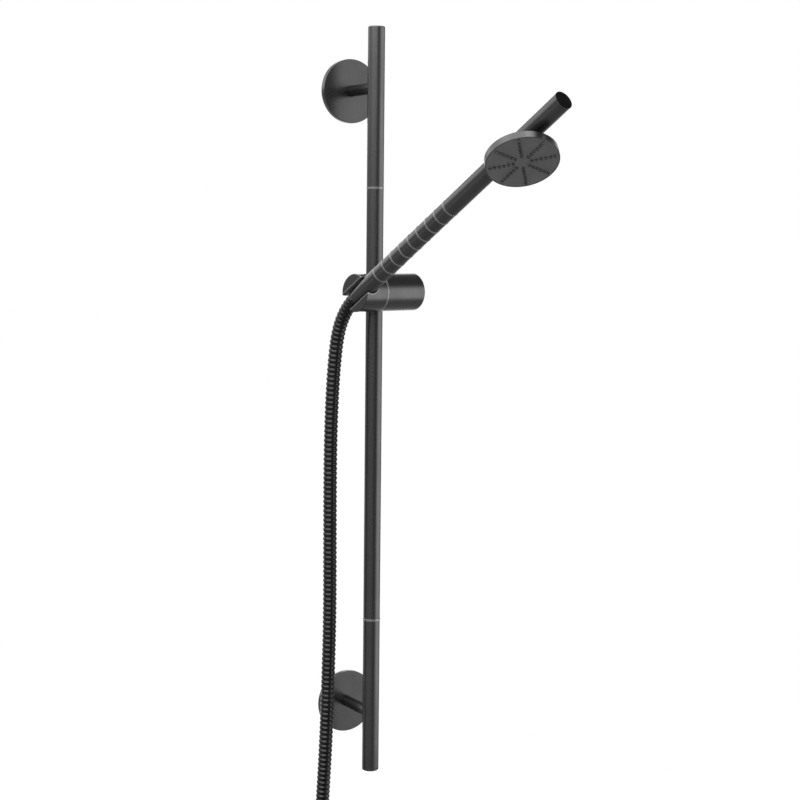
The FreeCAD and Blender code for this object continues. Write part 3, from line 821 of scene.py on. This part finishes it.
def nozzle_mesh():
    """Tapered nozzle with a bored tip."""
    root = FACE_TOP - NOZZLE_ROOT
    point = FACE_TOP + NOZZLE_PROUD
    bore_end = point - NOZZLE_BORE_DEPTH
    return lathe("nozzle", [
        (0, root),
        (NOZZLE_R, root),
        (NOZZLE_R, FACE_TOP + NOZZLE_SHOULDER, NOZZLE_SHOULDER_ROUND),
        (NOZZLE_TIP_R, point, NOZZLE_TIP_ROUND),
        (NOZZLE_BORE_R, point, NOZZLE_BORE_ROUND),
        (NOZZLE_BORE_R, bore_end),
        (0, bore_end),
    ], False, SEGMENTS_NOZZLE)


def head_pieces():
    finished("head_disc", head_shell_mesh(), HEAD_PLACE, "holder", "coated_metal", "head_shell")
    nozzle = new_object("nozzle_tip", nozzle_mesh())
    row_mesh = run_tree(row_tree(), {"Piece": nozzle, "Count": NOZZLES_IN_ROW, "First": NOZZLE_FIRST,
                                     "Step": NOZZLE_STEP, "Material": silicone})
    row = new_object("nozzle_row", row_mesh)
    star = run_tree(ring_tree(), {"Piece": row, "Count": NOZZLE_ROWS, "Material": silicone})
    for used in (nozzle, row):
        bpy.data.objects.remove(used)
    finished("nozzles", star, HEAD_PLACE, "holder", "nozzle_rubber", "nozzle_mat")


# Hose: a smooth line through the route and the coil, ribbed by a node tree
def hose_points():
    points = list(HOSE_ROUTE)
    x0, y0, z0 = COIL_MIDDLE
    r = COIL_R / math.cos(math.pi / COIL_STEPS)
    for k in range(COIL_TURNS * COIL_STEPS + 1):
        a = 2 * math.pi * k / COIL_STEPS
        points.append((x0 - COIL_PITCH * k / COIL_STEPS, y0 + r * math.cos(a), z0 - r * math.sin(a)))
    last_x = points[-1][0]
    points += [(last_x, y0 + COIL_R, z0 - COIL_TAIL / 2), (last_x, y0 + COIL_R, z0 - COIL_TAIL)]
    return points


def hose_line():
    """Route as an order 3 spline, which keeps the bends smooth."""
    curve = bpy.data.curves.new("hose_line", "CURVE")
    curve.dimensions = "3D"
    curve.resolution_u = HOSE_LINE_STEPS
    spline = curve.splines.new("NURBS")
    points = hose_points()
    spline.points.add(len(points) - 1)
    for point, place in zip(spline.points, points):
        point.co = (MM @ Vector(place)).to_4d()
    spline.order_u = 3
    spline.use_endpoint_u = True
    return curve


def hose_tree():
    """Tube along a line, swelling into a round ridge at every pitch."""
    tree, enter, leave = node_tree("ribbed_hose", Pitch="Float", Radius="Float", Depth="Float",
                                   Steps="Float", Sides="Int", Material="Material")
    gap = add(tree, "ShaderNodeMath", [(0, enter.outputs["Pitch"]), (1, enter.outputs["Steps"])],
              operation="DIVIDE")
    fine = add(tree, "GeometryNodeResampleCurve", [("Curve", enter.outputs["Geometry"]),
                                                   ("Length", gap.outputs[0])], mode="LENGTH")
    along = add(tree, "GeometryNodeSplineParameter")
    ridges = add(tree, "ShaderNodeMath", [(0, along.outputs["Length"]), (1, enter.outputs["Pitch"])],
                 operation="DIVIDE")
    phase = add(tree, "ShaderNodeMath", [(0, ridges.outputs[0])], operation="MULTIPLY")
    phase.inputs[1].default_value = math.pi
    wave = add(tree, "ShaderNodeMath", [(0, phase.outputs[0])], operation="SINE")
    swell = add(tree, "ShaderNodeMath", [(0, wave.outputs[0])], operation="ABSOLUTE")
    dip = add(tree, "ShaderNodeMath", [(0, swell.outputs[0])], operation="SUBTRACT")
    dip.inputs[1].default_value = 1.0
    radius = add(tree, "ShaderNodeMath", [(0, dip.outputs[0]), (1, enter.outputs["Depth"]),
                                          (2, enter.outputs["Radius"])], operation="MULTIPLY_ADD")
    circle = add(tree, "GeometryNodeCurvePrimitiveCircle", [("Resolution", enter.outputs["Sides"])],
                 Radius=1.0)
    swept = add(tree, "GeometryNodeCurveToMesh", [("Curve", fine.outputs[0]),
                                                  ("Profile Curve", circle.outputs[0]),
                                                  ("Scale", radius.outputs[0])], Fill_Caps=True)
    end_tree(tree, swept.outputs[0], enter.outputs["Material"], leave)
    return tree


def hose_piece():
    """Hose in metres, swept along its line and ribbed by a node tree."""
    line = new_object("hose_line", hose_line())
    path = [v.co.copy() for v in plain_mesh(line).vertices]
    sizes = {
        "Pitch": RIDGE_PITCH / 1000,
        "Radius": HOSE_D / 2000,
        "Depth": RIDGE_DEPTH / 1000,
        "Steps": RIDGE_STEPS,
        "Sides": HOSE_SIDES,
        "Material": hose_vinyl,
    }
    mesh = run_tree(hose_tree(), sizes, line.data)
    bpy.data.objects.remove(line)
    close_and_face_out(mesh, MERGE / 1000)
    mesh.shade_smooth()
    piece = new_object("hose", mesh)
    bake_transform(piece)
    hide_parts("hose_top", "hose_run", "hose_coil")


# Stage: pale floor, white surroundings with soft light panels, softbox, camera
def stage_floor():
    mesh = rod("floor", FLOOR_R, FLOOR_Z, FLOOR_Z - FLOOR_T, SEGMENTS_PLAIN)
    # Pale matt floor paint: near white to the camera with a soft shadow, and dimmer where metal mirrors it
    material = bpy.data.materials.new("pale_floor_paint")
    material.use_nodes = True
    tree = material.node_tree
    shader = tree.nodes["Principled BSDF"]
    shader.inputs["Base Color"].default_value = linear("#cccccc")
    shader.inputs["Roughness"].default_value = FLOOR_ROUGHNESS
    rays = add(tree, "ShaderNodeLightPath")
    seen = add(tree, "ShaderNodeMath", [(0, rays.outputs["Is Camera Ray"])], operation="MULTIPLY")
    seen.inputs[1].default_value = FLOOR_SEEN
    share = add(tree, "ShaderNodeMath", [(0, seen.outputs[0]), (1, rays.outputs["Is Glossy Ray"])],
                operation="ADD", use_clamp=True)
    bright = add(tree, "ShaderNodeMapRange", [("Value", rays.outputs["Is Glossy Ray"])],
                 To_Min=1.0, To_Max=FLOOR_MIRRORED)
    white = add(tree, "ShaderNodeEmission", [("Strength", bright.outputs["Result"])], Color=WHITE)
    mix = add(tree, "ShaderNodeMixShader", [("Fac", share.outputs[0]), (1, shader.outputs[0]),
                                            (2, white.outputs[0])])
    tree.links.new(mix.outputs[0], tree.nodes["Material Output"].inputs["Surface"])
    mesh.materials.append(material)
    new_object("floor", mesh)


def surroundings():
    """White backdrop behind the object and a dim studio in front, with soft light panels."""
    world = bpy.data.worlds.new("studio")
    bpy.context.scene.world = world
    world.use_nodes = True
    tree = world.node_tree
    tree.nodes.clear()
    coords = add(tree, "ShaderNodeTexCoord")
    facing = add(tree, "ShaderNodeMapping", [("Vector", coords.outputs["Generated"])],
                 Rotation=(0, 0, math.radians(CAMERA_YAW)))
    parts = add(tree, "ShaderNodeSeparateXYZ", [("Vector", facing.outputs["Vector"])])
    backdrop = add(tree, "ShaderNodeMapRange", [("Value", parts.outputs["Y"])],
                   interpolation_type="SMOOTHSTEP", From_Min=BACKDROP[0], From_Max=BACKDROP[1],
                   To_Min=FRONT_GLOW, To_Max=1.0)
    glow = backdrop.outputs["Result"]
    for edges, bright in PANELS:
        light = add(tree, "ShaderNodeValue").outputs[0]
        light.default_value = bright
        for axis, begins, full in edges:
            edge = add(tree, "ShaderNodeMapRange", [("Value", parts.outputs[axis])],
                       interpolation_type="SMOOTHSTEP", From_Min=begins, From_Max=full)
            light = add(tree, "ShaderNodeMath", [(0, light), (1, edge.outputs["Result"])],
                        operation="MULTIPLY").outputs[0]
        glow = add(tree, "ShaderNodeMath", [(0, glow), (1, light)], operation="ADD").outputs[0]
    studio = add(tree, "ShaderNodeBackground", [("Strength", glow)], Color=WHITE)
    white = add(tree, "ShaderNodeBackground", Color=WHITE, Strength=1.0)
    rays = add(tree, "ShaderNodeLightPath")
    mix = add(tree, "ShaderNodeMixShader", [("Fac", rays.outputs["Is Camera Ray"]), (1, studio.outputs[0]),
                                            (2, white.outputs[0])])
    add(tree, "ShaderNodeOutputWorld", [("Surface", mix.outputs[0])])


def softbox():
    light = bpy.data.lights.new("softbox", "AREA")
    light.shape = "RECTANGLE"
    light.size, light.size_y = SOFTBOX_SIDES
    light.energy = SOFTBOX_WATTS
    lamp = new_object("softbox", light)
    facing = turn(-CAMERA_YAW, "Z")
    head = HEAD_PLACE @ Vector((0, 0, HEAD_FACE))
    lamp.matrix_world = Matrix.Translation(head + facing @ Vector(SOFTBOX_PLACE)) @ facing


def photo_camera():
    camera = bpy.data.cameras.new("camera")
    camera.lens = CAMERA_LENS
    camera.sensor_width = CAMERA_SENSOR
    camera.clip_end = CAMERA_RANGE
    thing = new_object("camera", camera)
    facing = turn(-CAMERA_YAW, "Z") @ turn(90 - CAMERA_PITCH, "X") @ turn(CAMERA_ROLL, "Z")
    thing.matrix_world = Matrix.Translation(Vector(CAMERA_PLACE) / 1000) @ facing
    bpy.context.scene.camera = thing


rail_pieces()
bracket_pieces()
slider_pieces()
holder_piece()
handle_pieces()
head_pieces()
hose_piece()
stage_floor()
surroundings()
softbox()
photo_camera()
bpy.context.scene.view_settings.view_transform = "Standard"
